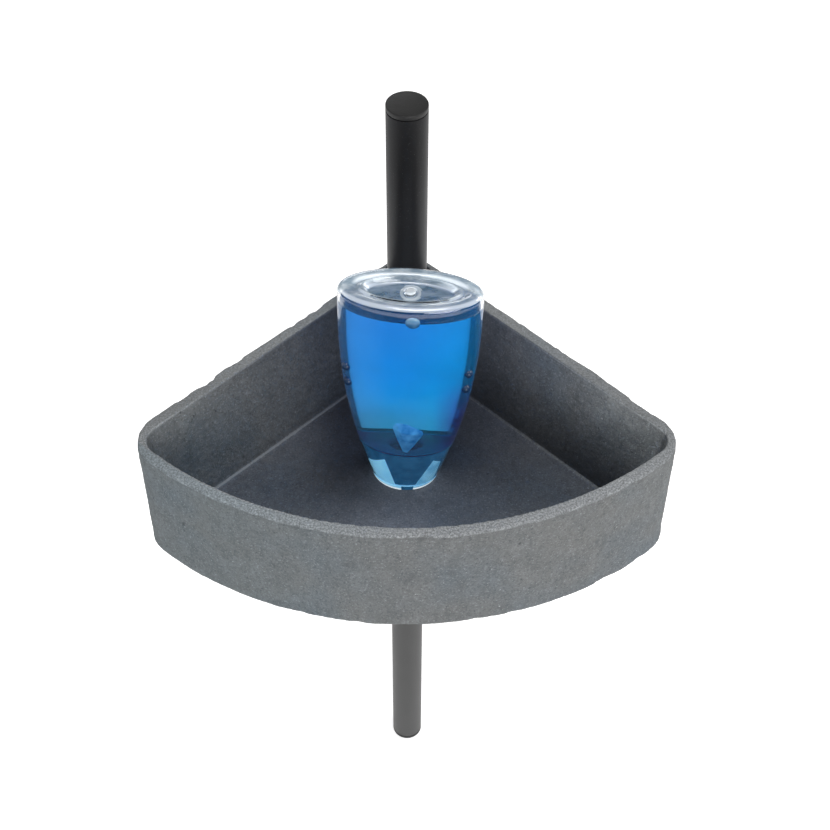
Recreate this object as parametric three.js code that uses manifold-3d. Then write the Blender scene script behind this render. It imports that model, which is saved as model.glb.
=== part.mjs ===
// Corner shelf tray on a round pole, with an oval gel bottle standing upside down in it.
// Millimetres, +Z up. The origin is the centre of the pole's lower end; the tray reaches towards -Y,
// and its square corner is behind the pole, on +Y.
import * as THREE from 'three';
import { mergeVertices } from 'three/addons/utils/BufferGeometryUtils.js';
import Module from 'manifold-3d';

const wasm = await Module();
wasm.setup();

// ---------------------------------------------------------------- driving dimensions

const GAP = 0.3;
const CUT_MARGIN = 1;
const JOIN_OVERLAP = 2;
const ROUND_SEGMENTS = 32;
const OUTLINE_ROUND_STEPS = 8;
const OUTLINE_FRONT_STEPS = 44;

const POLE_RADIUS = 11;
const POLE_LENGTH = 600;
const TUBE_WALL = 1;
const TUBE_JOINT_Z = 250;
const JOINT_RING_HEIGHT = 3.4;
const COUPLER_LENGTH = 84;
const COUPLER_WALL = 1.5;
const PLUG_FLANGE = 3;
const PLUG_DEPTH = 22;

const RIM_Z = 482;
const TRAY_HEIGHT = 71;
const FLOOR_THICKNESS = 7;
const CORNER_Y = 25;
const ARC_CENTRE_Y = 15.3;
const ARC_RADIUS = 198.2;
const WALL_AT_RIM = 6.3;
const WALL_AT_FLOOR = 14.2;
const FLOOR_FILLET = 1.8;
const TIP_ROUND_RIM = 20;
const TIP_ROUND_BASE = 23;
const TIP_ROUND_INNER = 10;
const CORNER_ROUND_INNER = 1;
const EDGE_BREAK = 0.8;
const BASE_FLARE = 1.2;

const SLEEVE_DROP = 15;
const BORE_CLEARANCE = 0.4;
const BUSH_HEIGHT = 12;
const BUSH_WALL = 2.9;

const CONE_INNER_RADIUS = POLE_RADIUS + GAP;
const CONE_FOOT_RADIUS = 15.1;
const CONE_TIP_RADIUS = 13.1;
const CONE_HEIGHT = 28;
const CONE_FLANGE_RADIUS = 15.6;
const CONE_FLANGE_HEIGHT = 5.7;
const CONE_SPLIT = 0.8;
const BAND_THICKNESS = 1.4;
const BAND_HEIGHT = 4;

const BOTTLE_Y = -87.2;
const BOTTLE_TURN = THREE.MathUtils.degToRad(-5.2);
const BOTTLE_HEIGHT = 136.8;
const BOTTLE_WALL = 1;
const BOTTLE_SEGMENTS = 32;
const BOTTLE_SIDE_STEP = 14;
const BOTTLE_ROUND_STEPS = 3;
const BALL_SEGMENTS = 8;
const BALL_ROWS = 6;
const BASE_ROUND = 3.2;
const SHOULDER_ROUND = 1;
const RECESS_HALF_WIDTH = 24;
const RECESS_HALF_DEPTH = 10.5;
const RECESS_DEPTH = 3;
const NUB_RADIUS = 2.2;
const GEL_LEVEL = 127.6;
const LABEL_LOW = 32;
const LABEL_HIGH = 126;
const LABEL_HALF_WIDTH = 31;
const LABEL_THICKNESS = 0.25;
const BEAD_RADIUS = 2.4;
const BEAD_HEIGHTS = [77, 88];
const PIP_HEIGHT = 46;
const PIP_HALF_WIDTH = 8;
const PIP_HALF_HEIGHT = 10.5;
const PIP_DEPTH = 2;

const LID_HEIGHT = 3.6;
const LID_ROUND = 1.4;
const SPIGOT_RADIUS = 2.4;
const SPIGOT_HEIGHT = 2;
const CAP_LOW = LID_HEIGHT + GAP;
const CAP_HIGH = 29;
const CAP_WALL = 1.4;
const CAP_DECK = 1.5;
const CAP_HOLE_RADIUS = 3.6;
const SKIRT_RADIUS = 9.7;
const SKIRT_WALL = 1.4;
const SKIRT_HEIGHT = 21;
const NECK_RADIUS = 9;
const NECK_WALL = 1.4;
const NECK_LOW = 11;
const SEAL_HEIGHT = 0.8;
const FUNNEL_FLANGE = 1;
const FUNNEL_WALL = 0.8;
const FUNNEL_TOP = 25;
const FUNNEL_TOP_RADIUS = 7.1;
const SPOUT_RADIUS = 3.2;
const SPOUT_LOW = 6.7;
const VALVE_RADIUS = 5;
const VALVE_THICKNESS = 0.7;
const VALVE_SLIT = 0.5;

// ---------------------------------------------------------------- worked-out dimensions

const TRAY_LOW = RIM_Z - TRAY_HEIGHT;
const FLOOR_Z = TRAY_LOW + FLOOR_THICKNESS;
const SLEEVE_RADIUS = CORNER_Y * Math.SQRT1_2;
const SLEEVE_LOW = TRAY_LOW - SLEEVE_DROP;
const CONE_LOW = SLEEVE_LOW - CONE_FLANGE_HEIGHT - GAP;
const CONE_HIGH = SLEEVE_LOW + CONE_HEIGHT;
const BORE_RADIUS = POLE_RADIUS + BORE_CLEARANCE;
const BOTTLE_SHOULDER = CAP_HIGH + GAP;

// A smooth curve through (height, size) rows, as a function of height.
function smoothTable(rows) {
  const heights = rows.map(([height]) => height);
  const sizes = rows.map(([, size]) => size);
  const curve = new THREE.CubicInterpolant(heights, sizes, 1);
  return (height) => curve.evaluate(height)[0];
}

// Half width and half depth of the bottle against height above the surface that it stands on.
const halfWidth = smoothTable([[0, 17.2], [12, 21.1], [33, 26.7], [60, 31.9], [95, 35.4], [137, 36]]);
const halfDepth = smoothTable([[0, 14.4], [40, 15.6], [95, 16.2], [137, 16.3]]);

// ---------------------------------------------------------------- materials

function material(color, roughness, metalness = 0, opacity = 1) {
  const transparent = opacity < 1;
  return new THREE.MeshStandardMaterial({ color, roughness, metalness, opacity, transparent });
}

const blackPaint = material(0x111214, 0.38, 0.2);
const greyPaint = material(0x4c4e50, 0.45, 0.2);
const blackPlastic = material(0x18191b, 0.55);
const slate = material(0x5a5e61, 0.9);
const rubber = material(0x222222, 0.85);
const clearPlastic = material(0xdfeaf2, 0.06, 0, 0.25);
const blueGel = material(0x1478d8, 0.08, 0, 0.8);
const whitePaper = material(0xf1f3f5, 0.5);
const blueCap = material(0x5fa8cc, 0.12, 0, 0.5);
const silicone = material(0xc9d4da, 0.5, 0, 0.8);

// ---------------------------------------------------------------- solids

function toSolid(geometry) {
  const bare = geometry.clone();
  bare.deleteAttribute('normal');
  bare.deleteAttribute('uv');
  const merged = mergeVertices(bare, 1e-4);
  const corners = merged.index.array;
  const kept = [];
  for (let i = 0; i < corners.length; i += 3) {
    const [a, b, c] = corners.slice(i, i + 3);
    if (a !== b && b !== c && c !== a) {
      kept.push(a, b, c);
    }
  }
  const vertProperties = new Float32Array(merged.attributes.position.array);
  const triVerts = new Uint32Array(kept);
  return new wasm.Manifold(new wasm.Mesh({ numProp: 3, vertProperties, triVerts }));
}

function toGeometry(solid) {
  const mesh = solid.getMesh();
  const geometry = new THREE.BufferGeometry();
  geometry.setAttribute('position', new THREE.BufferAttribute(mesh.vertProperties, 3));
  geometry.setIndex(new THREE.BufferAttribute(mesh.triVerts, 1));
  geometry.computeVertexNormals();
  return geometry;
}

// A solid of revolution about Z. The (radius, height) profile runs from the axis outwards, up and
// back to the axis, or anticlockwise round a ring.
function turned(profile, segments = ROUND_SEGMENTS) {
  const points = profile.map(([radius, height]) => new THREE.Vector2(radius, height));
  return toSolid(new THREE.LatheGeometry(points, segments).rotateX(Math.PI / 2));
}

function disc(radius, low, high) {
  return turned([[0, low], [radius, low], [radius, high], [0, high]]);
}

function ring(inner, outer, low, high) {
  return turned([[inner, low], [outer, low], [outer, high], [inner, high], [inner, low]]);
}

function block(low, high) {
  const size = high.map((value, axis) => value - low[axis]);
  const centre = high.map((value, axis) => (value + low[axis]) / 2);
  return toSolid(new THREE.BoxGeometry(...size).translate(...centre));
}

function piece(name, solid, finish) {
  const mesh = new THREE.Mesh(toGeometry(solid), finish);
  mesh.name = name;
  return mesh;
}

// ---------------------------------------------------------------- pole

function tube(low, high) {
  return ring(POLE_RADIUS - TUBE_WALL, POLE_RADIUS, low, high);
}

function endPlug(outside, inside) {
  const direction = Math.sign(inside - outside);
  const shoulder = outside + direction * PLUG_FLANGE;
  const spigotEnd = outside + direction * PLUG_DEPTH;
  const flange = disc(POLE_RADIUS, Math.min(outside, shoulder), Math.max(outside, shoulder));
  const spigotRadius = POLE_RADIUS - TUBE_WALL - GAP;
  return flange.add(disc(spigotRadius, Math.min(outside, spigotEnd), Math.max(outside, spigotEnd)));
}

function makePole() {
  const group = new THREE.Group();
  const ringLow = TUBE_JOINT_Z - JOINT_RING_HEIGHT / 2;
  const ringHigh = TUBE_JOINT_Z + JOINT_RING_HEIGHT / 2;
  const couplerOuter = POLE_RADIUS - TUBE_WALL - GAP;
  const coupler = ring(
    couplerOuter - COUPLER_WALL, couplerOuter,
    TUBE_JOINT_Z - COUPLER_LENGTH / 2, TUBE_JOINT_Z + COUPLER_LENGTH / 2,
  );
  group.add(
    piece('lower_tube', tube(PLUG_FLANGE + GAP, ringLow - GAP), greyPaint),
    piece('upper_tube', tube(ringHigh + GAP, POLE_LENGTH - PLUG_FLANGE - GAP), blackPaint),
    piece('tube_coupler', coupler, blackPlastic),
    piece('joint_ring', tube(ringLow, ringHigh), blackPlastic),
    piece('base_plug', endPlug(0, PLUG_DEPTH), blackPlastic),
    piece('top_plug', endPlug(POLE_LENGTH, POLE_LENGTH - PLUG_DEPTH), blackPlastic),
  );
  return group;
}

// ---------------------------------------------------------------- carrier

function coneSleeve() {
  const flangeHigh = CONE_LOW + CONE_FLANGE_HEIGHT;
  return turned([
    [CONE_INNER_RADIUS, CONE_LOW], [CONE_FLANGE_RADIUS, CONE_LOW], [CONE_FLANGE_RADIUS, flangeHigh],
    [CONE_FOOT_RADIUS, flangeHigh], [CONE_TIP_RADIUS, CONE_HIGH], [CONE_INNER_RADIUS, CONE_HIGH],
    [CONE_INNER_RADIUS, CONE_LOW],
  ]);
}

function coneHalf(side) {
  const reach = CONE_FLANGE_RADIUS * 2;
  const inner = side * CONE_SPLIT / 2;
  const outer = side * reach;
  const keep = block(
    [Math.min(inner, outer), -reach, CONE_LOW - reach],
    [Math.max(inner, outer), reach, CONE_HIGH + reach],
  );
  return coneSleeve().intersect(keep);
}

function makeCarrier() {
  const group = new THREE.Group();
  const bandInner = CONE_FLANGE_RADIUS + GAP;
  const bandLow = CONE_LOW + (CONE_FLANGE_HEIGHT - BAND_HEIGHT) / 2;
  const band = ring(bandInner, bandInner + BAND_THICKNESS, bandLow, bandLow + BAND_HEIGHT);
  group.add(
    piece('cone_half_left', coneHalf(-1), blackPlastic),
    piece('cone_half_right', coneHalf(1), blackPlastic),
    piece('cone_band', band, rubber),
  );
  return group;
}

// ---------------------------------------------------------------- tray

function arc(centreX, centreY, radius, from, to, steps) {
  return Array.from({ length: steps + 1 }, (_, i) => {
    const angle = from + (to - from) * i / steps;
    return [centreX + radius * Math.cos(angle), centreY + radius * Math.sin(angle)];
  });
}

// The tray's outline, drawn inwards by inset: a rounded square corner behind the pole, two straight
// walls at 45 degrees, rounded tips and a front arc. It runs anticlockwise from the right wall.
function trayOutline(inset, cornerRadius, tipRound) {
  const wallDistance = SLEEVE_RADIUS - inset;
  const radius = ARC_RADIUS - inset;
  const shift = wallDistance - cornerRadius;
  const cornerY = shift * Math.SQRT2;
  const normalPart = wallDistance - tipRound;
  const centreNormal = ARC_CENTRE_Y * Math.SQRT1_2;
  const reach = Math.sqrt((radius - tipRound) ** 2 - (normalPart - centreNormal) ** 2);
  const alongPart = reach - centreNormal;
  const tipX = (normalPart + alongPart) * Math.SQRT1_2;
  const tipY = (normalPart - alongPart) * Math.SQRT1_2;
  const tipAngle = Math.atan2(tipY - ARC_CENTRE_Y, tipX);
  const leftAngle = Math.PI - tipAngle;
  const full = 2 * Math.PI;
  return [
    ...arc(0, cornerY, cornerRadius, Math.PI / 4, 3 * Math.PI / 4, OUTLINE_ROUND_STEPS),
    ...arc(-tipX, tipY, tipRound, 3 * Math.PI / 4, leftAngle, OUTLINE_ROUND_STEPS),
    ...arc(0, ARC_CENTRE_Y, radius, leftAngle, tipAngle + full, OUTLINE_FRONT_STEPS).slice(1, -1),
    ...arc(tipX, tipY, tipRound, tipAngle + full, full + Math.PI / 4, OUTLINE_ROUND_STEPS),
  ];
}

function endFaces(outline) {
  const points = outline.map(([x, y]) => new THREE.Vector2(x, y));
  return THREE.ShapeUtils.triangulateShape(points, []);
}

// A closed solid through outlines of equal point count, one above the other.
function lofted(levels) {
  const count = levels[0].outline.length;
  const positions = levels.flatMap(({ outline, z }) => outline.flatMap(([x, y]) => [x, y, z]));
  const index = [];
  for (let level = 0; level < levels.length - 1; level += 1) {
    for (let i = 0; i < count; i += 1) {
      const a = level * count + i;
      const b = level * count + (i + 1) % count;
      index.push(a, b, b + count, a, b + count, a + count);
    }
  }
  const last = (levels.length - 1) * count;
  endFaces(levels[0].outline).forEach(([a, b, c]) => index.push(c, b, a));
  endFaces(levels.at(-1).outline).forEach(([a, b, c]) => index.push(last + a, last + b, last + c));
  const geometry = new THREE.BufferGeometry();
  geometry.setAttribute('position', new THREE.Float32BufferAttribute(positions, 3));
  geometry.setIndex(index);
  return toSolid(geometry);
}

function trayBlank() {
  const level = (inset, tipRound, z) => (
    { outline: trayOutline(inset, SLEEVE_RADIUS - inset, tipRound), z }
  );
  return lofted([
    level(EDGE_BREAK - BASE_FLARE, TIP_ROUND_BASE, TRAY_LOW),
    level(-BASE_FLARE, TIP_ROUND_BASE, TRAY_LOW + EDGE_BREAK),
    level(0, TIP_ROUND_RIM, RIM_Z - EDGE_BREAK),
    level(EDGE_BREAK, TIP_ROUND_RIM, RIM_Z),
  ]);
}

function trayHollow() {
  const level = (inset, z) => ({ outline: trayOutline(inset, CORNER_ROUND_INNER, TIP_ROUND_INNER), z });
  const wallHeight = RIM_Z - FLOOR_Z - FLOOR_FILLET;
  const draft = (WALL_AT_FLOOR - WALL_AT_RIM) / wallHeight;
  return lofted([
    level(WALL_AT_FLOOR + FLOOR_FILLET, FLOOR_Z),
    level(WALL_AT_FLOOR, FLOOR_Z + FLOOR_FILLET),
    level(WALL_AT_RIM - draft * CUT_MARGIN, RIM_Z + CUT_MARGIN),
  ]);
}

// The way through the sleeve for the pole: a taper that seats on the cones, a plain bore above it,
// and a seat for the bush at the top.
function sleeveBore() {
  const slope = (CONE_FOOT_RADIUS - CONE_TIP_RADIUS) / CONE_HEIGHT;
  const low = SLEEVE_LOW - CUT_MARGIN;
  const high = RIM_Z + CUT_MARGIN;
  const bushSeat = RIM_Z - BUSH_HEIGHT - GAP;
  const bushRadius = BORE_RADIUS + BUSH_WALL + GAP;
  return turned([
    [0, low], [CONE_FOOT_RADIUS + GAP + slope * CUT_MARGIN, low],
    [CONE_TIP_RADIUS + GAP, CONE_HIGH + GAP], [BORE_RADIUS, CONE_HIGH + GAP],
    [BORE_RADIUS, bushSeat], [bushRadius, bushSeat], [bushRadius, high], [0, high],
  ]);
}

function makeTray() {
  const group = new THREE.Group();
  const sleeve = disc(SLEEVE_RADIUS, SLEEVE_LOW, RIM_Z - EDGE_BREAK);
  const tray = trayBlank().subtract(trayHollow()).add(sleeve).subtract(sleeveBore());
  const bushInner = POLE_RADIUS + GAP;
  const bush = ring(bushInner, BORE_RADIUS + BUSH_WALL, RIM_Z - BUSH_HEIGHT, RIM_Z);
  group.add(
    piece('tray', tray, slate),
    piece('sleeve_bush', bush, blackPlastic),
  );
  return group;
}

// ---------------------------------------------------------------- bottle

// (radius, height) points of a quarter round of that size at an end of the bottle's outline, from
// the end's flat face outwards. towards is 1 at a lower end and -1 at an upper one.
function ovalEdge(end, size, offset, towards) {
  return Array.from({ length: BOTTLE_ROUND_STEPS }, (_, i) => {
    const angle = i / BOTTLE_ROUND_STEPS * Math.PI / 2;
    const height = end + towards * size * (1 - Math.cos(angle));
    return [halfWidth(height) + offset - size * (1 - Math.sin(angle)), height];
  });
}

// A solid with the bottle's oval outline, drawn outwards by offset, between two heights, with
// rounded edges at either end.
function oval(low, high, offset, lowRound = 0, highRound = 0) {
  const sideLow = low + lowRound;
  const sideHigh = high - highRound;
  const sideSteps = Math.max(1, Math.round((high - low) / BOTTLE_SIDE_STEP));
  const side = Array.from({ length: sideSteps + 1 }, (_, i) => {
    const height = sideLow + (sideHigh - sideLow) * i / sideSteps;
    return [halfWidth(height) + offset, height];
  });
  const lowEdge = lowRound > 0 ? ovalEdge(low, lowRound, offset, 1) : [];
  const highEdge = highRound > 0 ? ovalEdge(high, highRound, offset, -1).reverse() : [];
  const profile = [[0, low], ...lowEdge, ...side, ...highEdge, [0, high]];
  const points = profile.map(([radius, height]) => new THREE.Vector2(radius, height));
  const geometry = new THREE.LatheGeometry(points, BOTTLE_SEGMENTS).rotateX(Math.PI / 2);
  const { position } = geometry.attributes;
  for (let i = 0; i < position.count; i += 1) {
    const height = position.getZ(i);
    const squeeze = (halfDepth(height) + offset) / (halfWidth(height) + offset);
    position.setY(i, position.getY(i) * squeeze);
  }
  return toSolid(geometry);
}

function baseRecess(offset) {
  const low = BOTTLE_HEIGHT - RECESS_DEPTH - offset;
  const high = BOTTLE_HEIGHT + RECESS_DEPTH;
  const dish = new THREE.CylinderGeometry(1, 1, high - low, BOTTLE_SEGMENTS).rotateX(Math.PI / 2);
  dish.scale(RECESS_HALF_WIDTH + offset, RECESS_HALF_DEPTH + offset, 1);
  return toSolid(dish.translate(0, 0, (low + high) / 2));
}

function ball(radius, x, y, z) {
  return toSolid(new THREE.SphereGeometry(radius, BALL_SEGMENTS, BALL_ROWS).translate(x, y, z));
}

function frontPip() {
  const frontY = -halfDepth(PIP_HEIGHT);
  const pip = new THREE.OctahedronGeometry(1).scale(PIP_HALF_WIDTH, PIP_DEPTH, PIP_HALF_HEIGHT);
  return toSolid(pip.translate(0, frontY, PIP_HEIGHT));
}

function bottleShell() {
  const nubZ = BOTTLE_HEIGHT - RECESS_DEPTH;
  let outer = oval(BOTTLE_SHOULDER, BOTTLE_HEIGHT, 0, SHOULDER_ROUND, BASE_ROUND);
  outer = outer.subtract(baseRecess(0)).add(ball(NUB_RADIUS, 0, 0, nubZ)).add(frontPip());
  for (const side of [-1, 1]) {
    for (const height of BEAD_HEIGHTS) {
      outer = outer.add(ball(BEAD_RADIUS, side * halfWidth(height), 0, height));
    }
  }
  outer = outer.add(disc(NECK_RADIUS, NECK_LOW, BOTTLE_SHOULDER + JOIN_OVERLAP));
  const hollowLow = BOTTLE_SHOULDER + BOTTLE_WALL;
  const hollowHigh = BOTTLE_HEIGHT - BOTTLE_WALL;
  const hollow = oval(hollowLow, hollowHigh, -BOTTLE_WALL, SHOULDER_ROUND, BASE_ROUND - BOTTLE_WALL);
  const neckHollow = disc(NECK_RADIUS - NECK_WALL, NECK_LOW - CUT_MARGIN, hollowLow + JOIN_OVERLAP);
  return outer.subtract(hollow.subtract(baseRecess(BOTTLE_WALL)).add(neckHollow));
}

function gelBody() {
  const offset = -BOTTLE_WALL - GAP;
  const bodyLow = BOTTLE_SHOULDER + BOTTLE_WALL + GAP;
  const body = oval(bodyLow, GEL_LEVEL, offset, SHOULDER_ROUND);
  const neckRadius = NECK_RADIUS - NECK_WALL - GAP;
  const coneRadius = FUNNEL_TOP_RADIUS - FUNNEL_WALL - GAP;
  const spoutRadius = SPOUT_RADIUS - FUNNEL_WALL - GAP;
  const column = turned([
    [0, SPOUT_LOW + GAP], [spoutRadius, SPOUT_LOW + GAP], [spoutRadius, NECK_LOW],
    [coneRadius, FUNNEL_TOP], [coneRadius, FUNNEL_TOP + GAP], [neckRadius, FUNNEL_TOP + GAP],
    [neckRadius, bodyLow + JOIN_OVERLAP], [0, bodyLow + JOIN_OVERLAP],
  ]);
  return body.add(column);
}

function backLabel() {
  const sheet = oval(LABEL_LOW, LABEL_HIGH, GAP + LABEL_THICKNESS)
    .subtract(oval(LABEL_LOW - CUT_MARGIN, LABEL_HIGH + CUT_MARGIN, GAP));
  const behind = 2 * halfDepth(LABEL_HIGH);
  return sheet.intersect(block(
    [-LABEL_HALF_WIDTH, 0, LABEL_LOW - CUT_MARGIN],
    [LABEL_HALF_WIDTH, behind, LABEL_HIGH + CUT_MARGIN],
  ));
}

function cap() {
  const deckHigh = CAP_LOW + CAP_DECK;
  const skirtLow = CAP_LOW + CAP_DECK / 2;
  const skirt = ring(SKIRT_RADIUS, SKIRT_RADIUS + SKIRT_WALL, skirtLow, CAP_LOW + SKIRT_HEIGHT);
  const hole = disc(CAP_HOLE_RADIUS, CAP_LOW - CUT_MARGIN, deckHigh + CUT_MARGIN);
  return oval(CAP_LOW, CAP_HIGH, 0)
    .subtract(oval(deckHigh, CAP_HIGH + CUT_MARGIN, -CAP_WALL))
    .add(skirt)
    .subtract(hole);
}

function nozzleFunnel() {
  const flangeHigh = NECK_LOW - SEAL_HEIGHT - 2 * GAP;
  const flangeLow = flangeHigh - FUNNEL_FLANGE;
  const spoutBore = SPOUT_RADIUS - FUNNEL_WALL;
  const topBore = FUNNEL_TOP_RADIUS - FUNNEL_WALL;
  return turned([
    [spoutBore, SPOUT_LOW], [SPOUT_RADIUS, SPOUT_LOW], [SPOUT_RADIUS, flangeLow],
    [NECK_RADIUS, flangeLow], [NECK_RADIUS, flangeHigh], [SPOUT_RADIUS, flangeHigh],
    [SPOUT_RADIUS, NECK_LOW], [FUNNEL_TOP_RADIUS, FUNNEL_TOP], [topBore, FUNNEL_TOP],
    [spoutBore, NECK_LOW], [spoutBore, SPOUT_LOW],
  ]);
}

function nozzleValve() {
  const low = CAP_LOW + CAP_DECK + GAP;
  const disk = disc(VALVE_RADIUS, low, low + VALVE_THICKNESS);
  const slit = block(
    [-SPIGOT_RADIUS, -VALVE_SLIT / 2, low - CUT_MARGIN],
    [SPIGOT_RADIUS, VALVE_SLIT / 2, low + VALVE_THICKNESS + CUT_MARGIN],
  );
  return disk.subtract(slit);
}

function flipLid() {
  const spigot = disc(SPIGOT_RADIUS, LID_HEIGHT / 2, LID_HEIGHT + SPIGOT_HEIGHT);
  return oval(0, LID_HEIGHT, 0, LID_ROUND).add(spigot);
}

function makeBottle() {
  const group = new THREE.Group();
  const sealLow = NECK_LOW - SEAL_HEIGHT - GAP;
  const seal = ring(NECK_RADIUS - NECK_WALL, NECK_RADIUS, sealLow, sealLow + SEAL_HEIGHT);
  group.add(
    piece('bottle_shell', bottleShell(), clearPlastic),
    piece('gel', gelBody(), blueGel),
    piece('back_label', backLabel(), whitePaper),
    piece('cap', cap(), blueCap),
    piece('neck_seal', seal, silicone),
    piece('nozzle_funnel', nozzleFunnel(), silicone),
    piece('nozzle_valve', nozzleValve(), silicone),
    piece('flip_lid', flipLid(), blueCap),
  );
  group.position.set(0, BOTTLE_Y, FLOOR_Z + GAP);
  group.rotation.z = BOTTLE_TURN;
  return group;
}

// ---------------------------------------------------------------- the object

const shelf = new THREE.Group();
shelf.add(makePole(), makeCarrier(), makeTray(), makeBottle());

export default shelf;
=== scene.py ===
import math

import bpy
import numpy as np
from mathutils import Euler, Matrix, Quaternion, Vector, noise
from mathutils.bvhtree import BVHTree


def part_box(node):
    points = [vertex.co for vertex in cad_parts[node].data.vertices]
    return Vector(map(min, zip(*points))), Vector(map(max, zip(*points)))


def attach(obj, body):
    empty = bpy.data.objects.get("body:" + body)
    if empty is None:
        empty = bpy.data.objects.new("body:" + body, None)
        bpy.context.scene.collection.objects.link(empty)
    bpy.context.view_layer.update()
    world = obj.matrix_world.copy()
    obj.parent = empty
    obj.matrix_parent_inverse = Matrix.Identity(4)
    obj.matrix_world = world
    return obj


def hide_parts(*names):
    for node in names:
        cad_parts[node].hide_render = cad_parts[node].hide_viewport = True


# The looks of a corner shelf tray on a round pole, with a clear bottle of blue gel standing upside
# down in it. Lengths in the tables are millimetres; everything is made in metres, in the CAD frame.

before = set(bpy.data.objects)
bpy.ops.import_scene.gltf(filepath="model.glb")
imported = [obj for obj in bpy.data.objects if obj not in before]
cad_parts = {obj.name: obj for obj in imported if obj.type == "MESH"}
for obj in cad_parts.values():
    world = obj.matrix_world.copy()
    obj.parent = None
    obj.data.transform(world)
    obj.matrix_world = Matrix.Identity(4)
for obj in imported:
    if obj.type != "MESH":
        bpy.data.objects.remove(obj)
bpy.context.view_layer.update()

MM = 0.001


def node_box(name):
    """Lowest and highest corner of a CAD node, in millimetres."""
    low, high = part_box(name)
    return np.array(low) / MM, np.array(high) / MM


# ---------------------------------------------------------------- sizes

POLE_RADIUS = node_box("upper_tube")[1][0]
RIM_Z = node_box("tray")[1][2]
TRAY_HEIGHT = 71
TRAY_LOW = RIM_Z - TRAY_HEIGHT
FLOOR_THICKNESS = 7
FLOOR_Z = TRAY_LOW + FLOOR_THICKNESS
CORNER_Y = 25
ARC_CENTRE_Y = 15.3
ARC_RADIUS = 198.2
SLEEVE_RADIUS = CORNER_Y / math.sqrt(2)

BOTTLE_Y = -87.2
BOTTLE_TURN = math.radians(-5.2)
BOTTLE_LEAN = 0.02
BOTTLE_SHIFT = -1.0
BOTTLE_Z = node_box("flip_lid")[0][2]
BOTTLE_HEIGHT = 136.8
BOTTLE_WALL = 1.0
CAP_LOW = 3.9
CAP_WALL = 0.45
CAP_DECK = 1.5
GEL_LEVEL = 127.6
SHOULDER = 29.3

LABEL_LOW = 32.0
LABEL_HIGH = 126.0
LABEL_REACH = 31.0
LABEL_CORNER = 3.0
LABEL_LEAN = 0.03
LABEL_WIDTH_LIMIT = 0.94
LABEL_SHIFT_START = 80
LABEL_SHIFT_RISE = 30
LABEL_RULES = (39, 43)
LABEL_OFFSETS = (0.3, 0.55)

# Half width and half depth of the bottle against height above the surface that it stands on.
HALF_WIDTH = [(0, 17.2), (12, 21.1), (33, 26.7), (60, 31.9), (95, 35.4), (137, 36)]
HALF_DEPTH = [(0, 14.4), (40, 15.6), (95, 16.2), (137, 16.3)]

# ---------------------------------------------------------------- mesh tools


def along(table, height):
    """Smooth value of a (height, size) table: cubic pieces with slopes from the neighbours."""
    h = [row[0] for row in table]
    s = [row[1] for row in table]
    slopes = np.gradient(s, h)
    height = min(max(height, h[0]), h[-1])
    i = min(np.searchsorted(h, height, side="right") - 1, len(h) - 2)
    span = h[i + 1] - h[i]
    t = (height - h[i]) / span
    low = (1 + 2 * t) * (1 - t) ** 2 * s[i] + t * (1 - t) ** 2 * span * slopes[i]
    return low + t * t * (3 - 2 * t) * s[i + 1] + t * t * (t - 1) * span * slopes[i + 1]


def linked(name, data):
    """A new object with that data, put in the scene."""
    obj = bpy.data.objects.new(name, data)
    bpy.context.collection.objects.link(obj)
    return obj


def mesh_object(name, points, faces, sharp_degrees=38):
    """A smooth-shaded mesh from points in millimetres, creased where it bends past the angle."""
    mesh = bpy.data.meshes.new(name)
    mesh.from_pydata((np.asarray(points, float) * MM).tolist(), [], faces)
    mesh.validate()
    mesh.shade_smooth()
    mesh.set_sharp_from_angle(angle=math.radians(sharp_degrees))
    return linked(name, mesh)


def loft_faces(ring_count, size, loop=False):
    """Quads between rings of equal size, numbered one ring after the other."""
    faces = []
    for k in range(ring_count if loop else ring_count - 1):
        upper = (k + 1) % ring_count
        for i in range(size):
            j = (i + 1) % size
            faces.append((k * size + i, k * size + j, upper * size + j, upper * size + i))
    return faces


def capped(rings):
    """Points and faces of a solid through rings, closed at both ends by a fan to the middle."""
    size = len(rings[0])
    points = np.concatenate(rings + [rings[0].mean(0)[None], rings[-1].mean(0)[None]])
    faces = loft_faces(len(rings), size)
    first, last = len(points) - 2, len(points) - 1
    base = (len(rings) - 1) * size
    for i in range(size):
        j = (i + 1) % size
        faces.append((first, j, i))
        faces.append((last, base + i, base + j))
    return points, faces


def looped(rings):
    """Points and faces of a ring-shaped solid, its last ring joined to its first."""
    return np.concatenate(rings), loft_faces(len(rings), len(rings[0]), loop=True)


def rounded(profile, radius, loop=False, steps=4):
    """The profile with each corner replaced by a curve that starts about that far before it."""
    corners = [np.array(p, float) for p in profile]
    count = len(corners)
    out = []
    for i, here in enumerate(corners):
        if not loop and i in (0, count - 1):
            out.append(here)
            continue
        back = corners[i - 1] - here
        ahead = corners[(i + 1) % count] - here
        reach_back = min(radius, 0.45 * np.linalg.norm(back)) / np.linalg.norm(back)
        reach_ahead = min(radius, 0.45 * np.linalg.norm(ahead)) / np.linalg.norm(ahead)
        start, end = here + back * reach_back, here + ahead * reach_ahead
        for t in np.linspace(0, 1, steps + 1):
            out.append((1 - t) ** 2 * start + 2 * t * (1 - t) * here + t * t * end)
    return out


def ellipse(half_x, half_y, z, segments):
    angle = np.arange(segments) * 2 * math.pi / segments
    return np.stack([half_x * np.cos(angle), half_y * np.sin(angle), np.full(segments, z)], 1)


def turned(name, profile, radius=0.4, loop=False, segments=128):
    """A round piece on the pole's axis from a (radius, height) profile; loop for a ring."""
    profile = rounded(profile, radius, loop)
    if loop:
        return mesh_object(name, *looped([ellipse(r, r, z, segments) for r, z in profile]))
    rings = [ellipse(r, r, z, segments) for r, z in profile if r > 0]
    return mesh_object(name, *capped(rings))


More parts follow.
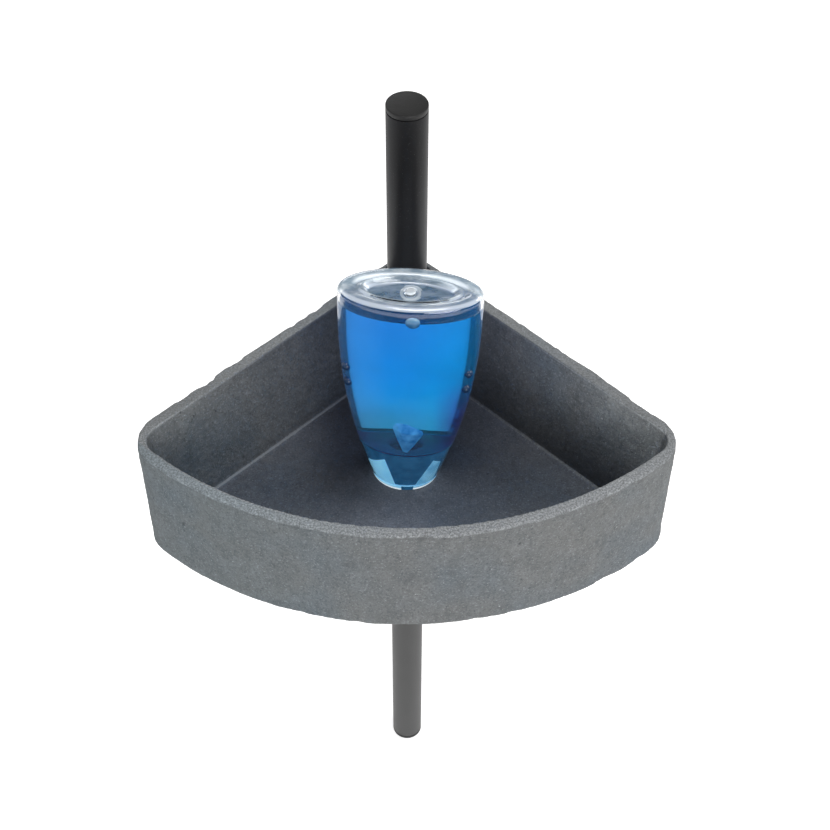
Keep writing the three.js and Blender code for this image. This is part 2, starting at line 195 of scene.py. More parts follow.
def in_bottle(points):
    """Points of the bottle's own frame moved to where the bottle stands, leaning a little right."""
    cos, sin = math.cos(BOTTLE_TURN), math.sin(BOTTLE_TURN)
    x, y, z = np.asarray(points, float).T
    lean = BOTTLE_LEAN * z + BOTTLE_SHIFT
    return np.stack([x * cos - y * sin + lean, x * sin + y * cos + BOTTLE_Y, z + BOTTLE_Z], 1)


BOTTLE_SEGMENTS = 120


def bottle_piece(name, ovals, loop=False, segments=BOTTLE_SEGMENTS, sharp_degrees=38):
    """A bottle part through (half width, half depth, height) ovals."""
    rings = [ellipse(a, b, h, segments) for a, b, h in ovals]
    points, faces = looped(rings) if loop else capped(rings)
    return mesh_object(name, in_bottle(points), faces, sharp_degrees)


def side(heights, offset):
    """Ovals of the bottle's outline, drawn outwards by offset, at those heights."""
    return [(along(HALF_WIDTH, h) + offset, along(HALF_DEPTH, h) + offset, h) for h in heights]


def heel(corner_height, radius, offset, upward, steps=6):
    """Ovals that round the outline off to a flat end at corner_height, running inwards."""
    rings = []
    for angle in np.linspace(0, math.pi / 2, steps):
        inset = radius * (1 - math.cos(angle))
        h = corner_height - upward * radius * (1 - math.sin(angle))
        rings += side([h], offset - inset)
    return rings


# ---------------------------------------------------------------- node tools


class Nodes:
    """A material's node tree, with short calls to add and join nodes."""

    def __init__(self, name):
        self.material = bpy.data.materials.new(name)
        self.material.use_nodes = True
        self.tree = self.material.node_tree
        self.tree.nodes.clear()
        self.output = self.tree.nodes.new("ShaderNodeOutputMaterial")

    def add(self, kind, settings=None, **inputs):
        node = self.tree.nodes.new("ShaderNode" + kind)
        for key, value in (settings or {}).items():
            setattr(node, key, value)
        for key, value in inputs.items():
            self.set(node, key.replace("_", " "), value)
        return node

    def set(self, node, key, value):
        socket = node.inputs[int(key) if key.isdigit() else key]
        if isinstance(value, bpy.types.NodeSocket):
            self.tree.links.new(value, socket)
        else:
            socket.default_value = value

    def place(self, scale=(1, 1, 1)):
        """Object coordinates, in metres, with each axis scaled."""
        coordinates = self.add("TexCoord").outputs["Object"]
        mapping = self.add("Mapping", Vector=coordinates, Scale=scale)
        return mapping.outputs["Vector"]

    def position(self):
        """Object coordinates as three values, in metres: across, along and up."""
        split = self.add("SeparateXYZ", Vector=self.place())
        return [split.outputs[axis] for axis in "XYZ"]

    def noise(self, scale, detail=4, roughness=0.55, where=None):
        where = self.place() if where is None else where
        node = self.add("TexNoise", Vector=where, Scale=scale, Detail=detail, Roughness=roughness)
        return node.outputs["Fac"]

    def facing(self):
        """The surface's direction in the piece's own frame, so that a mask turns with the piece."""
        own = {"vector_type": "NORMAL", "convert_from": "WORLD", "convert_to": "OBJECT"}
        turned = self.add("VectorTransform", own, Vector=self.add("NewGeometry").outputs["Normal"])
        return self.add("SeparateXYZ", Vector=turned.outputs["Vector"]).outputs

    def ramp(self, factor, *stops):
        node = self.add("ValToRGB", Fac=factor)
        elements = node.color_ramp.elements
        while len(elements) < len(stops):
            elements.new(0.5)
        for element, (position, colour) in zip(elements, stops):
            element.position = position
            element.color = (*colour, 1) if len(colour) == 3 else colour
        return node.outputs["Color"]

    def span(self, value, low, high, to_low=0.0, to_high=1.0):
        node = self.add("MapRange", Value=value)
        node.clamp = True
        self.set(node, "From Min", low)
        self.set(node, "From Max", high)
        self.set(node, "To Min", to_low)
        self.set(node, "To Max", to_high)
        return node.outputs["Result"]

    def reach(self, place, low, high, to_low=0.0, to_high=1.0):
        """The span of a place along an axis, or of a distance, with its ends in millimetres."""
        return self.span(place, low * MM, high * MM, to_low, to_high)

    def mix(self, factor, a, b, blend="MIX"):
        node = self.add("Mix", {"data_type": "RGBA", "blend_type": blend})
        self.set(node, "0", factor)
        self.set(node, "6", a if isinstance(a, bpy.types.NodeSocket) else (*a, 1))
        self.set(node, "7", b if isinstance(b, bpy.types.NodeSocket) else (*b, 1))
        return node.outputs[2]

    def math(self, operation, a, b=0.0):
        node = self.add("Math", {"operation": operation})
        self.set(node, "0", a)
        self.set(node, "1", b)
        return node.outputs[0]

    def both(self, first, *others):
        """Product of masks: 1 only where all of them are 1."""
        for other in others:
            first = self.math("MULTIPLY", first, other)
        return first

    def shade(self, mask, ground, tint):
        """The ground multiplied by the tint where the mask is 1."""
        return self.mix(mask, ground, tint, "MULTIPLY")

    def distance_from(self, x, y):
        """Level distance in metres from the upright line at x and y, given in millimetres."""
        node = self.add("VectorMath", {"operation": "DISTANCE"})
        self.set(node, "0", self.place((1, 1, 0)))
        self.set(node, "1", (x * MM, y * MM, 0))
        return node.outputs["Value"]

    def bump(self, height, strength, distance, after=None):
        node = self.add("Bump", Height=height, Strength=strength, Distance=distance)
        if after is not None:
            self.set(node, "Normal", after)
        return node.outputs["Normal"]

    def through_shadow(self, shader, colour):
        """The shader, except that light passes through to what is behind, tinted by the colour."""
        blend = self.add("MixShader")
        self.set(blend, "0", self.add("LightPath").outputs["Is Shadow Ray"])
        self.set(blend, "1", shader.outputs[0])
        self.set(blend, "2", self.add("BsdfTransparent", Color=(*colour, 1)).outputs[0])
        return self.finish(blend.outputs[0])

    def finish(self, surface):
        self.set(self.output, "Surface", surface)
        return self.material


def grey(value):
    return (value, value, value)


# ---------------------------------------------------------------- materials

# Tints that the slate's ground is multiplied by in parts of the tray: painted light and shade.
FLOOR_SHADE = (0.80, 0.83, 0.92)
WALL_PAINTED_LIGHT = (1.38, 1.38, 1.38)
FOOT_SHADE = (0.8, 0.8, 0.82)
CORNER_PAINTED_SHADE = (0.36, 0.38, 0.47)
BOTTLE_PAINTED_SHADOW = (0.7, 0.72, 0.78)
TIP_SHADE = (0.4, 0.4, 0.42)
BACK_FLOOR_SHADE = (0.45, 0.45, 0.5)
FRONT_FLOOR_TINT = (1.55, 1.58, 1.62)
LEFT_FRONT_TINT = (0.88, 0.96, 1.0)
RIGHT_CORNER_SHADE = grey(0.72)
RIGHT_WALL_GAIN = grey(2)

# Middle of the patch of painted light on the floor before the bottle, as x and y in millimetres.
PALE_PATCH = (-5, -145)


def slate_ground(n, mottle, pebble, grain):
    """Mottled blue-grey ground with streaks, veins, light and dark grains, flecks and pits."""
    cloud = n.noise(16, 3, 0.5)
    streak = n.noise(190, 4, 0.65, n.place((1, 1, 0.3)))
    fleck = n.noise(560, 2, 0.5)
    pit = n.noise(330, 2, 0.5, n.place((1, 1, 0.6)))
    from_vein = n.math("ABSOLUTE", n.math("SUBTRACT", n.noise(240, 3, 0.55), 0.5))
    ground = n.ramp(mottle, (0.3, (0.138, 0.146, 0.149)), (0.7, (0.196, 0.205, 0.207)))
    layers = [  # value, where it starts, where it is full, strength there, colour
        (n.noise(34, 3, 0.5), 0.5, 0.66, 0.4, (0.187, 0.187, 0.18)),
        (cloud, 0.5, 0.66, 0.5, (0.118, 0.152, 0.182)),
        (streak, 0.5, 0.3, 0.5, (0.105, 0.114, 0.118)),
        (pebble, 0.48, 0.3, 0.3, (0.08, 0.087, 0.09)),
        (pebble, 0.52, 0.7, 0.22, (0.30, 0.32, 0.33)),
        (from_vein, 0.03, 0.0, 0.36, (0.085, 0.092, 0.095)),
        (grain, 0.42, 0.3, 0.65, (0.06, 0.065, 0.07)),
        (grain, 0.58, 0.72, 0.55, (0.38, 0.40, 0.42)),
        (fleck, 0.74, 0.8, 0.75, (0.58, 0.59, 0.60)),
        (pit, 0.3, 0.22, 0.7, (0.05, 0.055, 0.058)),
    ]
    for value, start, full, strength, colour in layers:
        ground = n.mix(n.span(value, start, full, 0, strength), ground, colour)
    return ground


def slate_material():
    """Cast slate look with a paler sawn rim, a darker floor, and painted light and shade inside."""
    n = Nodes("slate")
    across, along_y, height = n.position()
    direction = n.facing()
    forward, upward = direction["Y"], direction["Z"]
    mottle = n.noise(70, 5, 0.6)
    pebble = n.noise(300, 4, 0.7)
    grain = n.noise(950, 2, 0.7)
    ground = slate_ground(n, mottle, pebble, grain)

    # Paler sawn rim, and painted light that makes it paler still towards the front.
    on_rim = n.reach(height, RIM_Z - 1.3, RIM_Z - 0.5)
    to_front = n.reach(along_y, -100, -150, 0.45, 1)
    sawn = n.ramp(n.noise(1000, 3, 0.8), (0.36, (0.16, 0.167, 0.172)),
                  (0.5, (0.275, 0.288, 0.298)), (0.66, (0.48, 0.50, 0.52)))
    ground = n.mix(n.both(on_rim, to_front), ground, sawn)

    near_floor = n.reach(height, FLOOR_Z + 3.2, FLOOR_Z + 2.2)
    on_floor = n.both(near_floor, n.span(upward, 0.76, 0.84))
    on_fillet = n.both(n.span(upward, 0.5, 0.6), n.span(upward, 0.84, 0.76))
    # Painted highlight: a pale line along the fillet at the foot of the inner walls, stronger on
    # the left.
    paler = n.both(n.reach(across, -20, 40, 0.45, 0), on_fillet, near_floor)
    ground = n.mix(paler, ground, (0.36, 0.38, 0.40))
    # Painted shade: the floor darker and bluer than the walls.
    ground = n.shade(on_floor, ground, FLOOR_SHADE)

    inside = n.reach(n.distance_from(0, ARC_CENTRE_Y), ARC_RADIUS - 5, ARC_RADIUS - 6)
    inner_wall = n.both(n.span(forward, -0.2, -0.5), inside)
    wall_foot = n.both(n.reach(height, FLOOR_Z + 9, FLOOR_Z + 1), n.span(upward, 0.6, 0.5))
    # Painted light: the inner walls lighter towards the front.
    ground = n.shade(n.both(inner_wall, n.reach(along_y, -50, -90)), ground, WALL_PAINTED_LIGHT)
    # Painted shade: the inner walls darker at their foot.
    ground = n.shade(n.both(wall_foot, inner_wall), ground, FOOT_SHADE)

    # Painted shadow: the floor darker under and around the bottle.
    under_bottle = n.reach(n.distance_from(0, BOTTLE_Y), 75, 30)
    ground = n.shade(n.both(on_floor, under_bottle), ground, BOTTLE_PAINTED_SHADOW)
    # Painted shade: the floor darker on the left behind the bottle.
    behind_left = n.both(n.reach(along_y, -125, -75), n.reach(across, 10, -25),
                         n.reach(across, -62, -38))
    ground = n.shade(n.both(on_floor, behind_left), ground, BACK_FLOOR_SHADE)
    # Painted light: a pale bluish patch on the floor before the bottle.
    before_bottle = n.reach(n.distance_from(*PALE_PATCH), 40, 10)
    ground = n.shade(n.both(on_floor, before_bottle), ground, FRONT_FLOOR_TINT)

    # Painted light and shade: the right inner wall darker low down and lighter high up.
    right_wall = n.both(inner_wall, n.reach(across, 20, 50), n.span(upward, 0.6, 0.45))
    darker_down = n.ramp(n.reach(height, FLOOR_Z, RIM_Z), (0.05, grey(0.3)), (0.35, grey(0.42)),
                         (0.85, grey(0.76)))
    ground = n.shade(right_wall, ground, n.shade(1.0, darker_down, RIGHT_WALL_GAIN))
    # Painted shade: the right inner wall darker towards the corner.
    near_corner = n.both(right_wall, n.reach(across, 62, 30))
    ground = n.shade(near_corner, ground, RIGHT_CORNER_SHADE)
    # Painted shade: the right inner wall darker low down towards its tip.
    tip_foot = n.both(right_wall, n.reach(across, 45, 100),
                      n.reach(height, RIM_Z - 22, FLOOR_Z + 10))
    ground = n.shade(tip_foot, ground, TIP_SHADE)

    # Painted shade: the outside darker and bluer towards the left.
    outer_left = n.both(n.math("SUBTRACT", 1.0, inside), n.reach(across, 0, -90))
    ground = n.shade(outer_left, ground, LEFT_FRONT_TINT)
    # Painted shade: the inner walls and floor darker towards the back corner.
    to_corner = n.reach(along_y, -100, -35)
    corner_shaded = n.both(to_corner, n.math("MAXIMUM", inner_wall, on_floor))
    ground = n.shade(corner_shaded, ground, CORNER_PAINTED_SHADE)

    rough = n.span(mottle, 0.3, 0.7, 0.72, 0.9)
    surface = n.bump(grain, 0.55, 0.0005)
    surface = n.bump(pebble, 0.6, 0.0014, surface)
    shader = n.add("BsdfPrincipled", Base_Color=ground, Roughness=rough, Normal=surface,
                   Specular_IOR_Level=0.35)
    return n.finish(shader.outputs[0])


def paint_material(name, dark, light, roughness, gloss):
    """Powder-coated tube: faint orange peel, cloudiness, fine dust, and a painted reflection above
    the tray.
    """
    n = Nodes(name)
    height = n.position()[2]
    # Painted reflection: the tube a little paler near the tray's rim height, most just above it.
    painted_reflection = n.both(n.reach(height, RIM_Z + 85, RIM_Z + 25, 0, 0.022),
                  n.reach(height, RIM_Z - 40, RIM_Z))
    cloud = n.noise(45, 3, 0.5, n.place((1, 1, 0.3)))
    colour = n.mix(n.span(cloud, 0.35, 0.65), dark, light)
    dust = n.noise(1500, 2, 0.6)
    colour = n.mix(n.span(dust, 0.66, 0.78, 0, 0.12), colour, grey(0.5))
    colour = n.mix(painted_reflection, colour, (0.9, 0.93, 1.0))
    rough = n.span(cloud, 0.3, 0.7, roughness - 0.04, roughness + 0.05)
    surface = n.bump(n.noise(900, 2, 0.5), 0.12, 0.0003)
    shader = n.add("BsdfPrincipled", Base_Color=colour, Roughness=rough, Normal=surface,
                   Specular_IOR_Level=gloss)
    return n.finish(shader.outputs[0])


def moulded_material(name, dark, light, roughness, grain_scale=700):
    """Matte moulded plastic or rubber with a fine spark-eroded grain."""
    n = Nodes(name)
    tone = n.noise(120, 3, 0.5)
    colour = n.mix(n.span(tone, 0.35, 0.65), dark, light)
    rough = n.span(tone, 0.3, 0.7, roughness - 0.05, roughness + 0.07)
    surface = n.bump(n.noise(grain_scale, 3, 0.6), 0.35, 0.0003)
    shader = n.add("BsdfPrincipled", Base_Color=colour, Roughness=rough, Normal=surface)
    return n.finish(shader.outputs[0])


def clear_material(name, colour, roughness, ior, shadow, ripple=0.05, sheen=0.0):
    """Clear plastic that lets light pass, with very slight ripples in its surface."""
    n = Nodes(name)
    wave = n.noise(70, 2, 0.4)
    surface = n.bump(wave, ripple, 0.002)
    tint = n.mix(n.span(wave, 0.3, 0.7), tuple(0.97 * c for c in colour), colour)
    shader = n.add("BsdfPrincipled", Base_Color=tint, Roughness=roughness, IOR=ior, Normal=surface,
                   Transmission_Weight=1.0, Sheen_Weight=sheen, Sheen_Roughness=0.35,
                   Sheen_Tint=(0.75, 0.88, 1.0, 1))
    return n.through_shadow(shader, shadow)


def gel_material():
    """Clear blue gel, greener to its foot; painted light pales its left, painted shade makes it
    indigo low right.
    """
    n = Nodes("gel")
    across, _, height = n.position()
    low, high = BOTTLE_Z + SHOULDER, BOTTLE_Z + GEL_LEVEL
    tint = n.ramp(n.reach(height, low, high), (0.1, (0.1, 0.60, 0.82)),
                  (0.5, (0.018, 0.50, 0.88)), (1.0, (0.075, 0.45, 0.86)))
    # Painted light: the gel paler towards its left side.
    tint = n.mix(n.reach(across, -33, -8, 0.5, 0), tint, (0.36, 0.68, 0.88))
    tint = n.shade(n.reach(across, 2, 24), tint, (0.6, 1.14, 1.06))
    # Painted shade: the gel dark indigo low on the right.
    to_foot = n.reach(height, low + 55, low + 25, 0, 0.95)
    indigo = n.both(n.reach(across, 12, 26), to_foot)
    tint = n.mix(indigo, tint, (0.10, 0.10, 0.5))
    surface = n.bump(n.noise(70, 2, 0.4), 0.02, 0.002)
    shader = n.add("BsdfPrincipled", Base_Color=tint, Roughness=0.0, IOR=1.36, Normal=surface,
                   Transmission_Weight=0.9)
    return n.through_shadow(shader, (0.18, 0.58, 0.88))


def label_material():
    """White film label with two thin rules near its lower edge, and a painted glow, stronger low
    down and to the right.
    """
    n = Nodes("label_film")
    tone = n.noise(40, 3, 0.5)
    colour = n.mix(n.span(tone, 0.35, 0.65), (0.86, 0.88, 0.9), (0.93, 0.94, 0.95))
    across, _, height = n.position()
    for rule in LABEL_RULES:
        middle = (BOTTLE_Z + rule) * MM
        off = n.math("ABSOLUTE", n.math("SUBTRACT", height, middle))
        colour = n.mix(n.reach(off, 0.35, 0.2, 0, 0.25), colour, (0.45, 0.6, 0.8))
    surface = n.bump(n.noise(500, 2, 0.5), 0.1, 0.0002)
    # Painted light: the label glows, more low down and towards the right.
    painted_glow = n.both(n.reach(height, BOTTLE_Z + 30, BOTTLE_Z + 75, 1, 0.6),
                  n.reach(across, -30, 25, 0.75, 1.5))
    lit = n.mix(painted_glow, grey(0), (0.8, 0.9, 1.0))
    shader = n.add("BsdfPrincipled", Base_Color=colour, Roughness=0.42, Normal=surface,
                   Emission_Color=lit, Emission_Strength=0.38)
    return n.finish(shader.outputs[0])


def milky_material(name, colour, pale, roughness):
    """Milky moulded plastic: soft, faintly see-into, with a fine grain."""
    n = Nodes(name)
    tone = n.noise(160, 3, 0.5)
    tint = n.mix(n.span(tone, 0.35, 0.65), colour, pale)
    surface = n.bump(n.noise(800, 2, 0.5), 0.15, 0.0002)
    shader = n.add("BsdfPrincipled", Base_Color=tint, Roughness=roughness, Normal=surface,
                   Subsurface_Weight=0.3, Subsurface_Scale=0.004)
    return n.finish(shader.outputs[0])


def dark_gel_material(name, dark, light, roughness, painted_glow=0.0):
    """Glossy, slightly cloudy blue; any glow is painted light, an emission in its own colour."""
    n = Nodes(name)
    cloud = n.noise(180, 3, 0.5)
    colour = n.mix(n.span(cloud, 0.35, 0.65), dark, light)
    surface = n.bump(n.noise(300, 2, 0.5), 0.08, 0.0004)
    shader = n.add("BsdfPrincipled", Base_Color=colour, Roughness=roughness, Normal=surface)
    if painted_glow:
        n.set(shader, "Emission Color", colour)
        n.set(shader, "Emission Strength", painted_glow)
    return n.finish(shader.outputs[0])


def frosted_material(name, dark, light, transmission):
    """The bottle's thick moulded base: milky blue-grey, with painted highlights where it faces
    forwards.
    """
    n = Nodes(name)
    flow = n.noise(90, 4, 0.6, n.place((1, 2.5, 1)))
    tint = n.mix(n.span(flow, 0.38, 0.62), dark, light)
    forward = n.facing()["Y"]
    # Painted highlight: paler colour and a glow on faces that slope forwards.
    lit = n.both(n.span(forward, -0.1, -0.3), n.span(forward, -0.85, -0.6))
    tint = n.mix(lit, tint, (0.93, 0.97, 1.0))
    glow_colour = n.mix(lit, grey(0), (0.75, 0.88, 1.0))
    surface = n.bump(flow, 0.2, 0.002)
    shader = n.add("BsdfPrincipled", Base_Color=tint, Roughness=0.09, IOR=1.5, Normal=surface,
                   Emission_Color=glow_colour, Emission_Strength=0.22, Transmission_Weight=transmission,
                   Coat_Weight=1.0, Coat_Roughness=0.02)
    return n.finish(shader.outputs[0])


def drop_material():
    """A glossy drop with painted light and shade: pale where it faces up, dark blue where it faces
    down.
    """
    n = Nodes("wall_drop")
    # Painted light and shade, by which way the surface faces.
    above = n.span(n.facing()["Z"], -0.8, 0.9)
    tint = n.ramp(above, (0.15, (0.01, 0.04, 0.12)), (0.45, (0.04, 0.16, 0.34)),
                  (0.62, (0.08, 0.24, 0.46)), (0.85, (0.3, 0.5, 0.68)))
    tint = n.mix(n.span(n.noise(300, 2, 0.5), 0.4, 0.6, 0, 0.3), tint, (0.14, 0.32, 0.52))
    shader = n.add("BsdfPrincipled", Base_Color=tint, Roughness=0.05, Subsurface_Weight=0.2,
                   Subsurface_Scale=0.002)
    return n.finish(shader.outputs[0])


def window_material():
    """Painted light: a pale blue glow on the cap's sides, stronger on the left."""
    n = Nodes("cap_windows")
    to_right = n.reach(n.position()[0], -14, 12)
    cloud = n.noise(140, 3, 0.5)
    tint = n.mix(to_right, (0.29, 0.66, 0.94), (0.10, 0.33, 0.56))
    tint = n.mix(n.span(cloud, 0.4, 0.6, 0, 0.4), tint, (0.42, 0.74, 0.92))
    shader = n.add("BsdfPrincipled", Base_Color=tint, Roughness=0.3, Emission_Color=tint,
                   Emission_Strength=0.6)
    return n.finish(shader.outputs[0])


SLATE = slate_material()
BLACK_PAINT = paint_material("black_paint", (0.005, 0.005, 0.006), (0.010, 0.010, 0.012),
                             0.42, 0.22)
GREY_PAINT = paint_material("grey_paint", grey(0.045), grey(0.06), 0.5, 0.4)
BLACK_PLASTIC = moulded_material("black_plastic", grey(0.008), grey(0.013), 0.5)
RUBBER = moulded_material("rubber", grey(0.015), grey(0.03), 0.8, 450)
CLEAR = clear_material("clear_plastic", (0.97, 0.985, 1.0), 0.02, 1.5, (0.93, 0.95, 0.97),
                       sheen=0.07)
DROP = drop_material()
FROSTED = frosted_material("frosted_base", (0.42, 0.54, 0.64), (0.86, 0.94, 1.0), 0.54)
# Painted shade and highlights: the recess is a darker copy of the frosted base, the ring and the
# nub paler ones.
RECESS = frosted_material("frosted_recess", (0.22, 0.36, 0.45), (0.62, 0.77, 0.86), 0.62)
FROSTED_RING = frosted_material("frosted_ring", (0.6, 0.72, 0.8), (0.84, 0.92, 0.97), 0.4)
PALE_NUB = frosted_material("pale_nub", (0.7, 0.82, 0.9), (0.9, 0.95, 0.98), 0.25)
GEL = gel_material()
GEL_FOOT = dark_gel_material("gel_foot", (0.16, 0.035, 0.1), (0.24, 0.05, 0.14), 0.25)
# For the pip, the core and the lid's edge, the last number is a painted glow.
PIP_BLUE = dark_gel_material("pip_blue", (0.015, 0.17, 0.55), (0.08, 0.38, 0.82), 0.12, 0.15)
BEAD_BLUE = dark_gel_material("bead_blue", (0.01, 0.035, 0.09), (0.015, 0.05, 0.13), 0.15)
CORE_BLUE = dark_gel_material("core_blue", (0.010, 0.075, 0.17), (0.018, 0.11, 0.24), 0.15, 0.55)
LID_HIGHLIGHT = dark_gel_material("lid_highlight", (0.75, 0.87, 0.94), (0.85, 0.93, 0.97), 0.3, 0.8)
CAP_BLUE = clear_material("cap_blue", (0.8, 0.94, 0.985), 0.03, 1.45, (0.8, 0.92, 0.97))
# The cap's windows are painted light: pale blue fields that glow.
WINDOW = window_material()
LABEL = label_material()
SILICONE = milky_material("silicone", (0.42, 0.55, 0.66), (0.5, 0.62, 0.72), 0.5)


def dress(piece, body, material, slot, *replaced):
    """Gives a piece its material and body, and hides the CAD nodes that it stands for; the slot is
    not used.
    """
    piece.data.materials.clear()
    piece.data.materials.append(material)
    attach(piece, body)
    if replaced:
        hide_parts(*replaced)
    return piece


def more_material(piece, material, chosen):
    """Gives one more material to the chosen faces."""
    piece.data.materials.append(material)
    index = len(piece.data.materials) - 1
    for face in piece.data.polygons:
        if chosen(face):
            face.material_index = index


# ---------------------------------------------------------------- pole and carrier


def smooth_ring(node, inner, outer, body, material, slot, edge=0.35):
    """A fine round ring or tube in place of a CAD node, between that node's own heights."""
    low, high = node_box(node)[0][2], node_box(node)[1][2]
    profile = [(inner, low), (outer, low), (outer, high), (inner, high)]
    return dress(turned(node + "_fine", profile, edge, loop=True), body, material, slot, node)


def end_plug(node, outside, direction):
    """A plug with a flat face, rounded at its edge, and a stepped spigot that goes into the tube.
    """
    shoulder = outside + direction * 3
    end = outside + direction * 22
    spigot = POLE_RADIUS - 1.3
    profile = [(0.4, outside), (POLE_RADIUS, outside), (POLE_RADIUS, shoulder),
               (spigot, shoulder), (spigot, end), (0.4, end)]
    if direction < 0:
        profile.reverse()
    return dress(turned(node + "_fine", profile, 0.7), "pole", BLACK_PLASTIC, "black_plastic", node)


def make_pole():
    inner = POLE_RADIUS - 1
    smooth_ring("upper_tube", inner, POLE_RADIUS, "pole", BLACK_PAINT, "pole_black")
    smooth_ring("lower_tube", inner, POLE_RADIUS, "pole", GREY_PAINT, "pole_grey")
    smooth_ring("joint_ring", inner, POLE_RADIUS, "pole", BLACK_PLASTIC, "black_plastic")
    smooth_ring("tube_coupler", inner - 1.8, inner - 0.3, "pole", BLACK_PLASTIC, "black_plastic")
    end_plug("base_plug", 0, 1)
    end_plug("top_plug", node_box("top_plug")[1][2], -1)


def cone_half(node, sign):
    """Half of the tapered sleeve that wedges between the pole and the tray's bore."""
    low = node_box(node)[0][2]
    high = node_box(node)[1][2]
    profile = rounded([
        (11.3, low), (15.6, low), (15.6, low + 5.7), (15.1, low + 5.7), (13.1, high), (11.3, high),
    ], 0.5, loop=True)
    start = 0.4 / 13
    steps = 48
    rings = []
    for angle in np.linspace(start - math.pi / 2, math.pi / 2 - start, steps):
        rings.append(np.array([
            (sign * r * math.cos(angle), r * math.sin(angle), z) for r, z in profile
        ]))
    points, faces = np.concatenate(rings), loft_faces(steps, len(profile))
    size = len(profile)
    faces.append(tuple(range(size))[::-1])
    faces.append(tuple(range((steps - 1) * size, steps * size)))
    if sign > 0:
        faces = [face[::-1] for face in faces]
    piece = mesh_object(node + "_fine", points, faces)
    return dress(piece, "carrier", BLACK_PLASTIC, "black_plastic", node)


def make_carrier():
    cone_half("cone_half_left", -1)
    cone_half("cone_half_right", 1)
    smooth_ring("cone_band", 15.9, 17.3, "carrier", RUBBER, "black_rubber", 0.6)


# ---------------------------------------------------------------- tray


def outside_distance(x, y):
    """Distance of a point outside the tray's sharp outline: two back walls and the front arc."""
    walls = (np.abs(x) + y - CORNER_Y) / math.sqrt(2)
    front = np.hypot(x, y - ARC_CENTRE_Y) - ARC_RADIUS
    return np.maximum(walls, front)


FRACTAL_FALL = 0.9
FRACTAL_STEP = 2.0


def fractal(points, wavelength, octaves, seed):
    """Smooth noise about 0 at each point, its longest wave that many millimetres."""
    offset = (seed, 2 * seed, 3 * seed)
    values = [
        noise.fractal([c / wavelength + shift for c, shift in zip(point, offset)],
                      FRACTAL_FALL, FRACTAL_STEP, octaves)
        for point in points
    ]
    return np.array(values)


def fade(distance, reach):
    """1 at distance 0, falling smoothly to 0 at reach."""
    t = np.clip(1 - distance / reach, 0, 1)
    return t * t * (3 - 2 * t)


def fine_tray_mesh(source, voxel):
    """The CAD tray's surface as a fine even mesh that lies on it."""
    copy = linked("tray_copy", source.data.copy())
    remesh = copy.modifiers.new("remesh", "REMESH")
    remesh.mode = "VOXEL"
    remesh.voxel_size = voxel * MM
    graph = bpy.context.evaluated_depsgraph_get()
    dense = bpy.data.meshes.new_from_object(copy.evaluated_get(graph))
    bpy.data.objects.remove(copy)
    exact = BVHTree.FromPolygons([v.co for v in source.data.vertices],
                                 [tuple(f.vertices) for f in source.data.polygons])
    for vertex in dense.vertices:
        vertex.co = exact.find_nearest(vertex.co)[0]
    dense.update()
    return dense


# Unevenness of the cast tray in millimetres: waves and pits of its faces, and chips and swellings
# of its edges, which are stronger on the rim of the two back walls.
VOXEL = 1.1
WAVE_HEIGHTS = (0.68, 0.34)
PIT_DEPTH = 0.2
CHIP_START = 0.08
RIM_CHIP = 1.3
BACK_RIM_CHIP = 1.4
BACK_RIM_SWELL = 0.55
TIP_START = 95
BASE_SWELL = 0.5
BASE_CHIP = 0.9
WALL_FOOT_IN = 15


def vectors_of(collection, attribute):
    """The vectors of a mesh's vertices or normals as rows."""
    values = np.empty(len(collection) * 3)
    collection.foreach_get(attribute, values)
    return values.reshape(-1, 3)


def rough_tray():
    """The tray with uneven cast faces and chipped, worn edges."""
    dense = fine_tray_mesh(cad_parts["tray"], VOXEL)
    points = vectors_of(dense.vertices, "co") / MM
    normals = vectors_of(dense.vertex_normals, "vector")
    x, y, z = points.T
    from_pole = np.hypot(x, y)

    from_outline = np.abs(outside_distance(x, y))
    rim_edge = np.hypot(from_outline, z - RIM_Z)
    base_edge = np.hypot(from_outline, z - TRAY_LOW)
    long_wave, short_wave = WAVE_HEIGHTS
    waves = long_wave * fractal(points, 34, 2, 1.7) + short_wave * fractal(points, 11, 2, 5.1)
    pits = PIT_DEPTH * fractal(points, 3.4, 2, 9.3)
    chips = np.clip(fractal(points, 13, 3, 3.9) - CHIP_START, 0, 1)
    at_back_wall = fade(np.abs(np.abs(x) + y - CORNER_Y), 6.0) * fade(np.abs(x) - TIP_START, 25)
    outer = fade(from_outline, 3.0)
    move = (0.25 + 0.75 * outer) * waves + pits
    move *= 1 - 0.5 * fade(np.abs(z - RIM_Z), 1.5)
    rim_chips = (RIM_CHIP + BACK_RIM_CHIP * at_back_wall) * chips
    move += fade(rim_edge, 4.0) * (BACK_RIM_SWELL * at_back_wall - 0.05 - rim_chips)
    move *= 1 - 0.5 * fade(base_edge, 5.0)
    move += fade(base_edge, 8.0) * (BASE_SWELL - BASE_CHIP * chips)
    move *= 1 - 0.75 * fade(np.hypot(from_outline - WALL_FOOT_IN, z - FLOOR_Z - 1), 6.0)
    on_floor = (normals[:, 2] > 0.8) & (z < FLOOR_Z + 1.5)
    move = np.where(on_floor, np.clip(move, -0.35, 0.05), move)
    near_pole = fade(from_pole - SLEEVE_RADIUS - 0.5, 5.0)
    sleeve_only = np.where((z < TRAY_LOW - 1) | (from_pole < SLEEVE_RADIUS - 1.0), 1.0, 0.0)
    move *= 1 - np.maximum(sleeve_only, np.where(y > -30, 0.6 * near_pole, 0.0))
    points += normals * move[:, None]
    dense.vertices.foreach_set("co", (points * MM).ravel())
    dense.update()
    dense.shade_smooth()
    dress(linked("tray_slate", dense), "tray", SLATE, "tray_slate", "tray")


def make_tray():
    rough_tray()
    smooth_ring("sleeve_bush", 11.3, 14.3, "tray", BLACK_PLASTIC, "black_plastic", 0.8)


# ---------------------------------------------------------------- bottle


